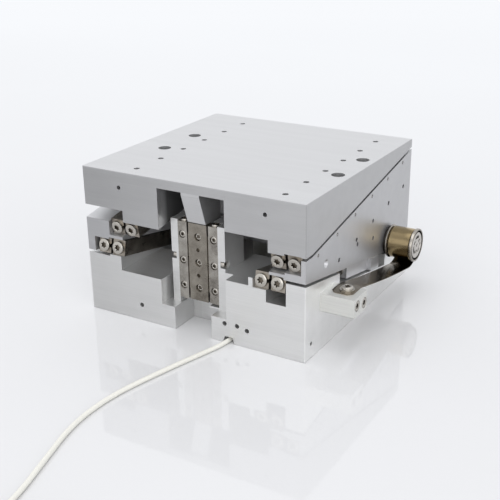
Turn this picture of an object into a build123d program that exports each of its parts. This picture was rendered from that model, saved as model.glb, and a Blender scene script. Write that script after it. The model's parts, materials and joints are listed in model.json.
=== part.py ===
from build123d import *
from math import asin, atan2, cos, pi, radians, sin, sqrt, tan
import os

# Wedge-driven vertical lift stage.
#
# A wedge slides forward and back between an inclined base and an inclined platform.
# Crossed-roller rails carry it below and above, and a vertical crossed-roller guide at the
# front keeps the platform level and in line, so the platform only rises and falls.
# A constant-force spring band on the right side carries part of the load.
#
# Units are millimetres. X points right, Y back and Z up. The origin is the centre of the
# base's underside. The model stands at the middle of its travel.

os.makedirs("parts", exist_ok=True)

# ---------------------------------------------------------------- overall sizes
width = 93.0
depth = 92.0
slope_angle = 10.2             # both inclines, in degrees
lift_travel = 2.5              # up and down from the middle

right = width / 2
left = -right
front = -depth / 2
back = depth / 2
rise = tan(radians(slope_angle))
slope_cos = cos(radians(slope_angle))
slope_sin = sin(radians(slope_angle))
wedge_travel = lift_travel / (2 * slope_sin)

# ---------------------------------------------------------------- inclined rail pairs
pair_width = 12.0              # both rails and the cage
rail_height = 6.0
rail_length = 90.0
rail_gap = 1.0                 # between the two rails of a pair
rail_pitch = 15.0              # between fixing screws
rail_screw_r = 1.25
rail_head_r = 2.1
rail_head_depth = 2.0
roller_r = 1.0
roller_pitch = 7.0
roller_count = 9
cage_thickness = 0.6
cage_height = 4.2
end_screw_r = 2.45
end_screw_head = 1.3
rail_width = (pair_width - rail_gap) / 2
rail_half = rail_height / 2
rail_start = (depth / slope_cos - rail_length) / 2

lower_rail_back_z = 10.7466    # lower rails' centre line, carried on to the back face
rail_spacing_z = 7.9           # between the two centre lines at the front face
platform_cover = 5.8466        # from the upper centre line at the back face to the top
lower_rail_z = lower_rail_back_z + depth * rise
upper_rail_z = lower_rail_z + rail_spacing_z
height = upper_rail_z + depth * rise + platform_cover   # at the middle of the travel
upper_left_pair = left + 16.9  # pair centre lines
upper_right_pair = right - 8.0
lower_left_pair = left + 10.1
lower_right_pair = right - 14.5
seat_relief = 0.7              # below or above the rail that the face doesn't carry

# ---------------------------------------------------------------- vertical guide
guide_pair_width = 8.5
guide_rail_depth = 4.0
guide_rail_length = 30.0
guide_rail_bottom = 11.0
guide_gap = 0.7
guide_pitch = 10.0
guide_roller_r = 0.75
guide_roller_pitch = 4.0
guide_roller_count = 5
guide_cage_thickness = 0.4
guide_cage_depth = 3.0
guide_front = front + 5.4      # front face of the post and its rails
guide_rail_width = (guide_pair_width - guide_gap) / 2
guide_half = guide_pair_width  # outer edge of the outer rails, from the middle
guide_hole_inset = 1.8         # screw line from the outer edge
guide_screw_r = 0.75
guide_head_r = 1.35
guide_head_depth = 1.2
guide_back = guide_front + guide_rail_depth
guide_top = guide_rail_bottom + guide_rail_length

# ---------------------------------------------------------------- spring bracket
bracket_front = front + 10.9
bracket_back = front + 21.8
bracket_bottom = 15.0
bracket_top = 22.1
bracket_length = 12.8
bracket_screw_r = 1.0
bracket_screw_grip = 4.0       # thread in the base
bracket_screw_spots = ((front + 13.8, 19.0), (front + 19.6, 18.0))

fit = 0.02                     # radial clearance of rollers, axle and bush
screw_clearance = 0.05


def up(distance, offset=0.0):
    """Height of a face parallel to the upper incline, at a distance from the front."""
    return upper_rail_z + offset / slope_cos + distance * rise


def down(distance, offset=0.0):
    """Height of a face parallel to the lower incline, at a distance from the front."""
    return lower_rail_z + offset / slope_cos - distance * rise


upper_incline = Plane(
    origin=(0, front, upper_rail_z), x_dir=(1, 0, 0), z_dir=(0, -slope_sin, slope_cos)
)
lower_incline = Plane(
    origin=(0, front, lower_rail_z), x_dir=(1, 0, 0), z_dir=(0, slope_sin, slope_cos)
)


def on_incline(incline, x, along, out=0.0):
    """Plane parallel to an incline, at x, a distance along it and out from it."""
    return Plane(
        origin=incline.from_local_coords((x, along, out)),
        x_dir=incline.x_dir,
        z_dir=incline.z_dir,
    )


def across_incline(incline, x, along):
    """Plane square to an incline's run: local x is X and local y is its normal."""
    return Plane(
        origin=incline.from_local_coords((x, along, 0)),
        x_dir=incline.x_dir,
        z_dir=-incline.y_dir,
    )


def side_prism(x_low, x_high, outline, mode=Mode.ADD):
    """Solid between two x values whose side view is an outline of (y, z) points."""
    with BuildSketch(Plane.YZ.offset(x_low)) as side:
        with BuildLine():
            Polyline(*outline, close=True)
        make_face()
    extrude(side.sketch, amount=x_high - x_low, mode=mode)


def block(x_low, x_high, d_low, d_high, z_low, z_high, mode=Mode.ADD):
    """Upright block, with its depth range measured from the front face."""
    side_prism(
        x_low,
        x_high,
        [
            (front + d_low, z_low),
            (front + d_high, z_low),
            (front + d_high, z_high),
            (front + d_low, z_high),
        ],
        mode,
    )


def save(piece, name):
    """Label a finished piece and write it."""
    piece.label = name
    export_step(piece, f"parts/{name}.step")


# ---------------------------------------------------------------- platform
plate_thickness = 3.6
plate_bottom = height - plate_thickness
thin_bottom = height - 2.3      # where an incline runs out at the back
channel_left = -13.1           # front opening of the platform
channel_right = 14.9
platform_leg_left = upper_left_pair + rail_gap / 2 - fit
platform_step_left = upper_right_pair - pair_width / 2 - 0.5
platform_step_right = upper_right_pair - 0.3
skirt_offset = 7.4             # undersides that carry no rail
skirt_lip = 1.6                # outermost strip of the right skirt
skirt_lip_offset = 2.6
landing = 4.9                  # level stretch at the front of the right gap
mount_hole_r = 2.5
mount_hole_depth = 4.2
mount_x = 75.0
mount_y = 21.2
mount_centre = (3.8, front + 44.8)
small_hole_r = 1.1
small_hole_depth = 1.8
small_hole_y = -2.1            # middle of each row of small holes
front_hole_r = 0.8
column_half = 3.85
column_lip = 1.5               # setback of the column's head
column_lip_z = plate_bottom - 1.5
column_back = 15.2
shoulder_z = guide_top + 0.4
column_shoulder = guide_front - 0.2


def hanging_leg(x_low, x_high, offset, level=0.0):
    """Part of the platform between two x values, cut off below along the upper incline.

    A level stretch at the front keeps its underside clear of the wedge's nose.
    """
    outline = [(front, height), (front, up(level, offset))]
    if level:
        outline.append((front + level, up(level, offset)))
    if up(depth, offset) > thin_bottom:
        reach = (thin_bottom - up(0, offset)) / rise
        outline += [(front + reach, thin_bottom), (back, thin_bottom)]
    else:
        outline.append((back, up(depth, offset)))
    outline.append((back, height))
    side_prism(x_low, x_high, outline)


with BuildPart() as platform_body:
    block(channel_left, channel_right, 0, depth, plate_bottom, height)
    hanging_leg(left, platform_leg_left, skirt_offset)
    hanging_leg(platform_leg_left, channel_left, rail_half)
    hanging_leg(channel_right, platform_step_left, skirt_offset)
    hanging_leg(platform_step_left, platform_step_right, rail_half)
    hanging_leg(platform_step_right, right - skirt_lip, rail_half + seat_relief)
    hanging_leg(right - skirt_lip, right, skirt_lip_offset, landing)
    side_prism(
        -column_half,
        column_half,
        [
            (front + column_lip, plate_bottom),
            (front + column_lip, column_lip_z),
            (column_shoulder, shoulder_z),
            (guide_back, shoulder_z),
            (guide_back, guide_rail_bottom),
            (front + column_back, guide_rail_bottom),
            (front + column_back, plate_bottom),
        ],
    )
    # tapped holes for the load
    with BuildSketch(Plane.XY.offset(height)) as load_holes:
        with Locations(mount_centre):
            with GridLocations(mount_x, mount_y, 2, 2):
                Circle(mount_hole_r)
    extrude(load_holes.sketch, amount=-mount_hole_depth, mode=Mode.SUBTRACT)
    # row of holes above each inner rail
    row_inset = rail_gap / 2 + rail_width / 2
    for row_x in (upper_left_pair + row_inset, upper_right_pair - row_inset):
        with BuildSketch(Plane.XY.offset(height)) as row:
            with Locations((row_x, small_hole_y)):
                with GridLocations(0, rail_pitch, 1, 6):
                    Circle(small_hole_r)
        extrude(row.sketch, amount=-small_hole_depth, mode=Mode.SUBTRACT)
    # tapped holes in the front face
    with BuildSketch(Plane.XZ.offset(-front)) as front_holes:
        with Locations((left + 16.3, height - 6.1), (right - 15.5, height - 6.0)):
            Circle(front_hole_r)
    extrude(front_holes.sketch, amount=-4, mode=Mode.SUBTRACT)
save(platform_body.part, "platform_body")


# ---------------------------------------------------------------- base
base_left_relief = lower_left_pair
base_left_seat = left + 15.3         # inner edge of the left wall
foot_left = -7.4               # channel between the feet
foot_right = 8.5
channel_depth = 12.3
front_block = 26.0             # depth of the solid front
left_block_z = down(front_block, -rail_half) - 0.87
right_block_z = 24.5
ledge_z = 8.9
floor_z = 5.0
rib_left = right - 22.3                # low rib beside the right inner rail
rib_right = right - 20.6
rib_offset = 0.4
right_seat = right - 15.3
right_notch = right - 7.5             # inner face of the right outer wall
notch_offset = -7.5
side_wall_offset = 1.1
stop_slot_front = 26.6         # slot in the right wall that the stop block runs in
stop_slot_back = 68.4
stop_slot_offset = -3.4
rear_wall = 6.0
rear_wall_z = 11.5
post_half = 11.5
post_back = 18.3
post_top = guide_top + 0.5
slot_half = column_half + 0.55
slot_back = column_back + 0.6
slot_bottom = 8.0
recess_z = 9.2
pocket_z = 27.2                # round pockets for the guide's side screws
pocket_d = 6.6
pocket_r = 1.75
pocket_depth = 2.0
side_screw_head_r = 1.2
base_mount_x = width - 9
base_mount_y = depth - 17
base_mount_r = 1.65
base_mount_depth = 6.0
notch_x = 15.7                 # cable notch under the front edge
notch_bottom = 4.9
notch_top = 3.2
cable_notch_z = 2.4
cable_notch_depth = 34.0


def rail_wall(x_low, x_high, offset, mode=Mode.ADD):
    """Wall of the base between two x values, cut off above along the lower incline."""
    side_prism(
        x_low,
        x_high,
        [(front, 0), (front, down(0, offset)), (back, down(depth, offset)), (back, 0)],
        mode,
    )


with BuildPart() as base_body:
    rail_wall(left, base_left_relief, -rail_half - seat_relief)
    rail_wall(base_left_relief, base_left_seat, -rail_half)
    block(base_left_seat, channel_left, 0, front_block, 0, left_block_z)
    block(channel_left, foot_left, 0, front_block, 0, ledge_z)
    block(foot_left, foot_right, channel_depth, front_block, 0, ledge_z)
    block(foot_right, channel_right, 0, front_block, 0, recess_z)
    block(post_half, channel_right, guide_front - front, front_block, recess_z, right_block_z)
    block(channel_right, rib_left, 0, front_block, 0, right_block_z)
    block(base_left_seat, rib_left, front_block, depth, 0, floor_z)
    block(lower_left_pair + pair_width / 2 + 0.3, rib_left, depth - rear_wall, depth, floor_z, rear_wall_z)
    rail_wall(rib_left, rib_right, rib_offset)
    rail_wall(rib_right, right_seat, -rail_half)
    rail_wall(right_seat, right_notch, notch_offset)
    rail_wall(right_notch, right, side_wall_offset)
    side_prism(
        right_notch,
        right,
        [
            (front + stop_slot_front, down(stop_slot_front, stop_slot_offset)),
            (front + stop_slot_back, down(stop_slot_back, stop_slot_offset)),
            (front + stop_slot_back, height),
            (front + stop_slot_front, height),
        ],
        Mode.SUBTRACT,
    )
    # post of the vertical guide
    block(-post_half, post_half, guide_front - front, post_back, ledge_z, post_top)
    block(-guide_half, guide_half, guide_front - front, guide_back - front, ledge_z, height, Mode.SUBTRACT)
    block(-slot_half, slot_half, guide_back - front, slot_back, slot_bottom, height, Mode.SUBTRACT)
    block(slot_half, guide_half, guide_front - front, guide_back - front, recess_z, guide_rail_bottom - 1.1)
    for side in (-1, 1):
        with BuildSketch(Plane.YZ.offset(side * (post_half - pocket_depth))) as pocket:
            with Locations((front + pocket_d, pocket_z)):
                Circle(pocket_r)
        extrude(pocket.sketch, amount=side * pocket_depth, mode=Mode.SUBTRACT)
        with BuildSketch(Plane.YZ.offset(side * guide_half)) as side_screw_hole:
            with Locations((front + pocket_d, pocket_z)):
                Circle(guide_screw_r + screw_clearance)
        extrude(side_screw_hole.sketch, amount=side * (post_half - guide_half), mode=Mode.SUBTRACT)
    # holes in the front and side
    with BuildSketch(Plane.XZ.offset(-front)) as front_holes:
        with Locations((-22.6, 6.3), (14.1, 7.4), (19.3, 7.5), (23.4, 6.6)):
            Circle(0.9)
    extrude(front_holes.sketch, amount=-5, mode=Mode.SUBTRACT)
    with BuildSketch(Plane.YZ.offset(right)) as side_hole:
        with Locations((front + 4.6, 5.5)):
            Circle(front_hole_r)
    extrude(side_hole.sketch, amount=-4, mode=Mode.SUBTRACT)
    # holes that the spring's bracket is screwed to
    with BuildSketch(Plane.YZ.offset(right)) as bracket_holes:
        with Locations(*bracket_screw_spots):
            Circle(bracket_screw_r + screw_clearance)
    extrude(bracket_holes.sketch, amount=-bracket_screw_grip, mode=Mode.SUBTRACT)
    # groove that leads the cable out under the front edge
    with BuildSketch(Plane.XZ.offset(-front)) as notch:
        with BuildLine():
            Polyline(
                (notch_x - notch_bottom / 2, 0),
                (notch_x + notch_bottom / 2, 0),
                (notch_x + notch_top / 2, cable_notch_z),
                (notch_x - notch_top / 2, cable_notch_z),
                close=True,
            )
        make_face()
    extrude(notch.sketch, amount=-cable_notch_depth, mode=Mode.SUBTRACT)
    with BuildSketch() as cable_hole:
        with Locations((notch_x, front + cable_notch_depth - 1.6)):
            Circle(1.5)
    extrude(cable_hole.sketch, amount=floor_z, mode=Mode.SUBTRACT)
    # tapped holes in the underside
    with BuildSketch() as base_holes:
        with GridLocations(base_mount_x, base_mount_y, 2, 2):
            Circle(base_mount_r)
    extrude(base_holes.sketch, amount=base_mount_depth, mode=Mode.SUBTRACT)
save(base_body.part, "base_body")

# ---------------------------------------------------------------- wedge
wedge_left_top = 2.3
left_leg_right = left + 3.3         # outer leg of the left arm, beside the lower rail
left_leg_offset = -2.7
left_pocket = upper_left_pair - pair_width / 2 - 0.3
left_arm_right = left + 16.6
right_arm_left = right - 14.1
right_wall_left = upper_right_pair + pair_width / 2 + 0.2
right_top_offset = 1.65
right_bottom_offset = 2.15
right_seat_split = lower_right_pair + pair_width / 2 + 0.05
web_front = 38.0
web_top_offset = 1.7
web_left_top = left + 23.6           # the web is low here, under the platform's left rail
motor_left = -16.0
motor_right = 18.0
motor_front = 44.0
motor_back = 88.0
motor_ceiling = 13.0
spool_d = 71.3                 # spool axis from the front face
spool_z = down(spool_d) + 6.83
axle_r = 1.5
axle_hole_depth = 5.5
side_hole_r = 0.7
second_row_r = 0.85
countersink_r = 1.6


def slab(x_low, x_high, top, bottom, d_low=0.0, d_high=depth, mode=Mode.ADD):
    """Tapered piece between the inclines, with offsets of its top and underside."""
    side_prism(
        x_low,
        x_high,
        [
            (front + d_low, down(d_low, bottom)),
            (front + d_high, down(d_high, bottom)),
            (front + d_high, up(d_high, top)),
            (front + d_low, up(d_low, top)),
        ],
        mode,
    )


with BuildPart() as wedge_body:
    slab(left, left_leg_right, wedge_left_top, left_leg_offset)
    slab(left_leg_right, lower_left_pair, wedge_left_top, rail_half)
    slab(lower_left_pair, left_pocket, wedge_left_top, rail_half + seat_relief)
    slab(left_pocket, left_arm_right, -rail_half, rail_half + seat_relief)
    slab(right_arm_left, right_seat_split, -rail_half - seat_relief, rail_half)
    slab(right_seat_split, upper_right_pair, -rail_half - seat_relief, right_bottom_offset)
    slab(upper_right_pair, right_wall_left, -rail_half, right_bottom_offset)
    side_prism(
        right_wall_left,
        right,
        [
            (front, down(0, right_bottom_offset)),
            (back, down(depth, right_bottom_offset)),
            (back, up(depth, right_top_offset)),
            (front + landing, up(landing, right_top_offset)),
            (front, up(landing, right_top_offset)),
        ],
    )
    slab(left_arm_right, web_left_top, -rail_half - seat_relief, rail_half + seat_relief, web_front)
    slab(web_left_top, right_arm_left, web_top_offset, rail_half + seat_relief, web_front)
    # pocket for the motor in the web's underside
    side_prism(
        motor_left,
        motor_right,
        [
            (front + motor_front, 0),
            (front + motor_back, 0),
            (front + motor_back, down(motor_back, motor_ceiling)),
            (front + motor_front, down(motor_front, motor_ceiling)),
        ],
        Mode.SUBTRACT,
    )
    # rows of side holes, one level with the upper rail and one below it
    first_hole = rail_start + (rail_length - 5 * rail_pitch) / 2
    through_wall = right - right_wall_left
    rows = ((0, side_hole_r, through_wall, 0), (-10.5, second_row_r, 3.0, 1))
    for row_offset, hole_r, hole_depth, skipped in rows:
        for number in range(skipped, 6):
            along = first_hole + number * rail_pitch
            spot = upper_incline.from_local_coords((0, along, row_offset))
            with BuildSketch(Plane.YZ.offset(right)) as side_hole:
                with Locations((spot.Y, spot.Z)):
                    Circle(hole_r)
            extrude(side_hole.sketch, amount=-hole_depth, mode=Mode.SUBTRACT)
    with BuildSketch(Plane.YZ.offset(right)) as lower_row:
        with Locations((front + 41.4, down(41.4) + 9.85), (front + 55.9, down(55.9) + 10.06)):
            Circle(second_row_r)
    extrude(lower_row.sketch, amount=-3, mode=Mode.SUBTRACT)
    with Locations(Plane(origin=(right, front + 15.1, down(15.1) + 7.02), x_dir=(0, 1, 0), z_dir=(1, 0, 0))):
        CounterSinkHole(side_hole_r, countersink_r, depth=4)
    # hole for the spool's axle
    with BuildSketch(Plane.YZ.offset(right)) as axle_hole:
        with Locations((front + spool_d, spool_z)):
            Circle(axle_r)
    extrude(axle_hole.sketch, amount=-axle_hole_depth, mode=Mode.SUBTRACT)
save(wedge_body.part, "wedge_body")


# ---------------------------------------------------------------- rails
vee_relief = 0.15              # half width of the slot at the bottom of a V-groove
vee_relief_depth = 0.35
rail_hole_inset = 2.3          # screw line from a rail's outer edge


def vee(gap, radius):
    """Grooved edge of a rail, from top to bottom, with the pair's centre at x = 0."""
    apex = radius * sqrt(2)
    mouth = apex - gap / 2
    return [
        (gap / 2, mouth),
        (apex - vee_relief, vee_relief),
        (apex + vee_relief_depth, vee_relief),
        (apex + vee_relief_depth, -vee_relief),
        (apex - vee_relief, -vee_relief),
        (gap / 2, -mouth),
    ]


def rail_outline(gap, radius, outer, half, side):
    """Section of one rail of a pair, on one side of the pair's centre."""
    points = [(gap / 2, half)] + vee(gap, radius) + [(gap / 2, -half), (outer, -half), (outer, half)]
    return [(side * x, y) for x, y in points]


def inclined_rail(name, incline, pair, side, head_pockets=False):
    """Rail with its groove facing the pair's centre, and pockets for its screws' heads."""
    hole_x = pair + side * (pair_width / 2 - rail_hole_inset)
    with BuildPart() as rail:
        with BuildSketch(across_incline(incline, pair, rail_start)):
            with BuildLine():
                outline = rail_outline(rail_gap, roller_r, pair_width / 2, rail_half, side)
                Polyline(*outline, close=True)
            make_face()
        extrude(amount=-rail_length)
        if head_pockets:
            with Locations(on_incline(incline, hole_x, rail_start + rail_length / 2, rail_half)):
                with GridLocations(0, rail_pitch, 1, 6):
                    Hole(rail_head_r, depth=rail_head_depth)
    save(rail.part, name)


inclined_rail("wedge_rail_upper_left", upper_incline, upper_left_pair, -1, True)
inclined_rail("platform_rail_left", upper_incline, upper_left_pair, 1)
inclined_rail("platform_rail_right", upper_incline, upper_right_pair, -1)
inclined_rail("wedge_rail_upper_right", upper_incline, upper_right_pair, 1, True)
inclined_rail("wedge_rail_lower_left", lower_incline, lower_left_pair, -1)
inclined_rail("base_rail_left", lower_incline, lower_left_pair, 1)
inclined_rail("base_rail_right", lower_incline, lower_right_pair, -1)
inclined_rail("wedge_rail_lower_right", lower_incline, lower_right_pair, 1)

guide_pair = guide_half - guide_pair_width / 2
guide_groove = guide_front + guide_rail_depth / 2
guide_rail_half = guide_rail_depth / 2
guide_middle = guide_rail_bottom + guide_rail_length / 2


def guide_rail(name, side):
    """Upright outer rail of the guide, counterbored on its front."""
    with BuildPart() as rail:
        with BuildSketch(Plane((side * guide_pair, guide_groove, guide_rail_bottom))):
            with BuildLine():
                outline = rail_outline(guide_gap, guide_roller_r, guide_pair_width / 2, guide_rail_half, side)
                Polyline(*outline, close=True)
            make_face()
        extrude(amount=guide_rail_length)
        hole_x = side * (guide_half - guide_hole_inset)
        with Locations(Plane((hole_x, guide_front, guide_middle), x_dir=(1, 0, 0), z_dir=(0, -1, 0))):
            with GridLocations(0, guide_pitch, 1, 3):
                Hole(guide_head_r + 0.1, depth=guide_head_depth)
    save(rail.part, name)


guide_rail("guide_rail_left", -1)
guide_rail("guide_rail_right", 1)

with BuildPart() as guide_rail_centre:
    groove_edge = vee(guide_gap, guide_roller_r)
    right_edge = [(guide_pair - x, y) for x, y in groove_edge]
    left_edge = [(x - guide_pair, y) for x, y in reversed(groove_edge)]
    edge = guide_pair - guide_gap / 2
    with BuildSketch(Plane((0, guide_groove, guide_rail_bottom))):
        with BuildLine():
            Polyline(
                (edge, guide_rail_half),
                *right_edge,
                (edge, -guide_rail_half),
                (-edge, -guide_rail_half),
                *left_edge,
                (-edge, guide_rail_half),
                close=True,
            )
        make_face()
    extrude(amount=guide_rail_length)
    with Locations(Plane((0, guide_front, guide_middle), x_dir=(1, 0, 0), z_dir=(0, -1, 0))):
        with GridLocations(0, guide_pitch, 1, 3):
            Hole(guide_head_r + 0.1, depth=guide_head_depth)
        with GridLocations(0, guide_pitch, 1, 2):
            Hole(guide_screw_r, depth=guide_head_depth)
save(guide_rail_centre.part, "guide_rail_centre")

# ---------------------------------------------------------------- cages and rollers
window_clearance = 0.08
roller_length = 2 * roller_r - 0.1
cage_margin = 3.0              # cage beyond the outer rollers' pitch


def cage_and_rollers(cage_name, rollers_name, middle, thickness, tall, radius, pitch, count):
    """Flat cage with a window for each roller, and the crossed rollers in it.

    The middle plane's local x runs along the pair, its local y is the cage's height and
    its normal points from one rail to the other.
    """
    length = 2 * radius - 0.1
    reach = (length / 2 + radius) * sqrt(0.5)
    with BuildPart() as cage:
        with BuildSketch(middle):
            Rectangle((count - 1) * pitch + 2 * cage_margin, tall)
            with GridLocations(pitch, 0, count, 1):
                Rectangle(2 * (radius + window_clearance), 2 * (reach + window_clearance), mode=Mode.SUBTRACT)
        extrude(amount=thickness / 2, both=True)
    save(cage.part, cage_name)
    with BuildPart() as rollers:
        for number in range(count):
            tilt = 1 if number % 2 else -1
            spot = middle.from_local_coords(((number - (count - 1) / 2) * pitch, 0, 0))
            axis = middle.z_dir + middle.y_dir * tilt
            with BuildSketch(Plane(origin=spot, x_dir=middle.x_dir, z_dir=axis)):
                Circle(radius - fit)
            extrude(amount=length / 2, both=True)
    save(rollers.part, rollers_name)


inclined_cages = (
    ("upper_left", upper_incline, upper_left_pair),
    ("upper_right", upper_incline, upper_right_pair),
    ("lower_left", lower_incline, lower_left_pair),
    ("lower_right", lower_incline, lower_right_pair),
)
for place, incline, pair in inclined_cages:
    cage_middle = Plane(
        origin=incline.from_local_coords((pair, rail_start + rail_length / 2, 0)),
        x_dir=incline.y_dir,
        z_dir=(1, 0, 0),
    )
    cage_and_rollers(
        f"cage_{place}",
        f"rollers_{place}",
        cage_middle,
        cage_thickness,
        cage_height,
        roller_r,
        roller_pitch,
        roller_count,
    )
for place, side in (("left", -1), ("right", 1)):
    cage_and_rollers(
        f"guide_cage_{place}",
        f"guide_rollers_{place}",
        Plane(origin=(side * guide_pair, guide_groove, guide_middle), x_dir=(0, 0, 1), z_dir=(1, 0, 0)),
        guide_cage_thickness,
        guide_cage_depth,
        guide_roller_r,
        guide_roller_pitch,
        guide_roller_count,
    )

# ---------------------------------------------------------------- screws
shank_clearance = 0.04


def screw(seat, head_r, head_height, shank_r, shank_length, socket):
    """Socket screw on a plane: its head stands out and its shank goes in."""
    if shank_length:
        with BuildSketch(seat) as shank:
            Circle(shank_r)
        extrude(shank.sketch, amount=-shank_length)
    with BuildSketch(seat) as head:
        Circle(head_r)
    extrude(head.sketch, amount=head_height)
    with BuildSketch(seat.offset(head_height)) as recess:
        RegularPolygon(socket, 6, major_radius=False)
    extrude(recess.sketch, amount=-head_height * 0.55, mode=Mode.SUBTRACT)


with BuildPart() as rail_screws:
    for pair, side in ((upper_left_pair, -1), (upper_right_pair, 1)):
        x = pair + side * (pair_width / 2 - rail_hole_inset)
        seat = on_incline(upper_incline, x, rail_start + rail_length / 2, rail_half - rail_head_depth)
        for number in range(6):
            spot = seat.from_local_coords((0, (number - 2.5) * rail_pitch, 0))
            plane = Plane(origin=spot, x_dir=seat.x_dir, z_dir=seat.z_dir)
            screw(plane, rail_head_r - 0.15, 1.6, 0, 0, 0.8)
save(rail_screws.part, "rail_screws")


def end_screws(name, rails):
    """Round heads at both ends of each rail, which stop the cages."""
    with BuildPart() as group:
        for incline, pair, side in rails:
            x = pair + side * (rail_gap / 2 + rail_width / 2)
            for end, out in ((rail_start, -1), (rail_start + rail_length, 1)):
                spot = incline.from_local_coords((x, end, 0))
                seat = Plane(origin=spot, x_dir=(1, 0, 0), z_dir=incline.y_dir * out)
                screw(seat, end_screw_r, end_screw_head, 0, 0, 1.0)
    save(group.part, name)


end_screws("end_screws_wedge", (
    (upper_incline, upper_left_pair, -1),
    (upper_incline, upper_right_pair, 1),
    (lower_incline, lower_left_pair, -1),
    (lower_incline, lower_right_pair, 1),
))
end_screws("end_screws_platform", ((upper_incline, upper_left_pair, 1), (upper_incline, upper_right_pair, -1)))
end_screws("end_screws_base", ((lower_incline, lower_left_pair, 1), (lower_incline, lower_right_pair, -1)))


def guide_screws(name, columns):
    """Rail screws of the guide, three in each column of holes."""
    with BuildPart() as group:
        for x in columns:
            for number in (-1, 0, 1):
                spot = (x, guide_front + guide_head_depth, guide_middle + number * guide_pitch)
                seat = Plane(spot, x_dir=(1, 0, 0), z_dir=(0, -1, 0))
                screw(seat, guide_head_r, 1.0, 0, 0, 0.6)
    save(group.part, name)


guide_screws("guide_rail_screws", (guide_hole_inset - guide_half, guide_half - guide_hole_inset))
guide_screws("centre_rail_screws", (0,))

with BuildPart() as guide_end_screws:
    for side in (-1, 1):
        spot = (side * (guide_half - guide_rail_width / 2), guide_groove, guide_top)
        screw(Plane(spot), 1.5, 0.8, 0, 0, 0.6)
    spot = (guide_rail_width / 2 - guide_half, guide_groove, guide_rail_bottom)
    screw(Plane(spot, x_dir=(1, 0, 0), z_dir=(0, 0, -1)), 1.5, 0.8, 0, 0, 0.6)
save(guide_end_screws.part, "guide_end_screws")

with BuildPart() as rail_preload_screws:
    for number in range(6):
        spot = upper_incline.from_local_coords((0, first_hole + number * rail_pitch, 0))
        with BuildSketch(Plane.YZ.offset(upper_right_pair + pair_width / 2)) as set_screw:
            with Locations((spot.Y, spot.Z)):
                Circle(side_hole_r - shank_clearance)
        extrude(set_screw.sketch, amount=1.6)
save(rail_preload_screws.part, "rail_preload_screws")

with BuildPart() as guide_preload_screws:
    for side in (-1, 1):
        seat = Plane(
            (side * (post_half - pocket_depth), front + pocket_d, pocket_z), x_dir=(0, 1, 0), z_dir=(side, 0, 0)
        )
        grip = post_half - pocket_depth - guide_half
        screw(seat, side_screw_head_r, pocket_depth - 0.4, guide_screw_r - shank_clearance, grip, 0.5)
save(guide_preload_screws.part, "guide_preload_screws")

# ---------------------------------------------------------------- travel stop
stop_left = right_notch + 0.2
stop_front = 34.5
stop_back = 60.5
stop_bottom = -2.7
bumper_r = 1.4
bumper_height = 0.8
bumper_x = (stop_left + right) / 2
lug_front = 53.0               # the lug stands proud of the side at the block's back end
lug_out = 0.8
web_setback = 1.0              # the rest of the block lies below the side face

with BuildPart() as stop_block:
    for start, outside in ((stop_front, right - web_setback), (lug_front, right + lug_out)):
        side_prism(
            stop_left,
            outside,
            [
                (front + start, down(start, right_bottom_offset)),
                (front + stop_back, down(stop_back, right_bottom_offset)),
                (front + stop_back, down(stop_back, stop_bottom)),
                (front + start, down(start, stop_bottom)),
            ],
        )
save(stop_block.part, "stop_block")

with BuildPart() as stop_bumpers:
    for distance, out in ((stop_front, -1), (stop_back, 1)):
        spot = (bumper_x, front + distance, down(distance, (right_bottom_offset + stop_bottom) / 2))
        screw(Plane(spot, x_dir=(1, 0, 0), z_dir=(0, out, 0)), bumper_r, bumper_height, 0, 0, 0.6)
save(stop_bumpers.part, "stop_bumpers")

# ---------------------------------------------------------------- spring and spool
band_thickness = 0.2
band_left = right + 2.3
band_right = right + 10.5
band_front = front + 13.8
clamp_x = right + 7.1
clamp_y = front + 17.8
clamp_screw_r = 1.0
clamp_grip = 3.0
washer_r = 2.7
washer_thickness = 0.5
head_r = 1.9
roll_outer = 6.25
roll_inner = 2.95
spool_y = front + spool_d
hub_r = 2.9
flange_r = 6.6
flange_thickness = 0.6
rim_thickness = 1.2
rim_recess = 0.7
rim_recess_r = 5.2
bush_r = 2.4
shoulder_r = 1.9
inner_flange_x = right + 1.1
bolt_head_r = 4.3
bolt_head_height = 0.6

with BuildPart() as spring_bracket:
    with BuildSketch(Plane.YZ.offset(right)) as side:
        with Locations(((bracket_front + bracket_back) / 2, (bracket_bottom + bracket_top) / 2)):
            Rectangle(bracket_back - bracket_front, bracket_top - bracket_bottom)
    extrude(amount=bracket_length)
    chamfer(spring_bracket.edges().filter_by(Axis.X).sort_by(Axis.Z)[:2], 0.6)
    with Locations(Plane(origin=(right + bracket_length, 0, 0), x_dir=(0, 1, 0), z_dir=(1, 0, 0))):
        with Locations(*bracket_screw_spots):
            CounterBoreHole(bracket_screw_r + screw_clearance, head_r + 0.1, 1.2)
    with Locations(Plane((clamp_x, clamp_y, bracket_top))):
        Hole(clamp_screw_r + screw_clearance, depth=clamp_grip)
save(spring_bracket.part, "spring_bracket")

with BuildPart() as bracket_screws:
    for spot_y, spot_z in bracket_screw_spots:
        seat = Plane(
            (right + bracket_length - 1.2, spot_y, spot_z), x_dir=(0, 1, 0), z_dir=(1, 0, 0)
        )
        grip = bracket_length - 1.2 + bracket_screw_grip - 0.5
        screw(seat, head_r, 1.9, bracket_screw_r - shank_clearance, grip, 0.9)
save(bracket_screws.part, "bracket_screws")

with BuildPart() as band_clamp_washer:
    with BuildSketch(Plane((clamp_x, clamp_y, bracket_top + band_thickness))):
        Circle(washer_r)
        Circle(clamp_screw_r + screw_clearance, mode=Mode.SUBTRACT)
    extrude(amount=washer_thickness)
save(band_clamp_washer.part, "band_clamp_washer")

with BuildPart() as band_clamp_screw:
    seat = Plane((clamp_x, clamp_y, bracket_top + band_thickness + washer_thickness))
    grip = band_thickness + washer_thickness + clamp_grip - 0.5
    screw(seat, head_r, 1.3, clamp_screw_r - shank_clearance, grip, 0.9)
save(band_clamp_screw.part, "band_clamp_screw")

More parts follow.
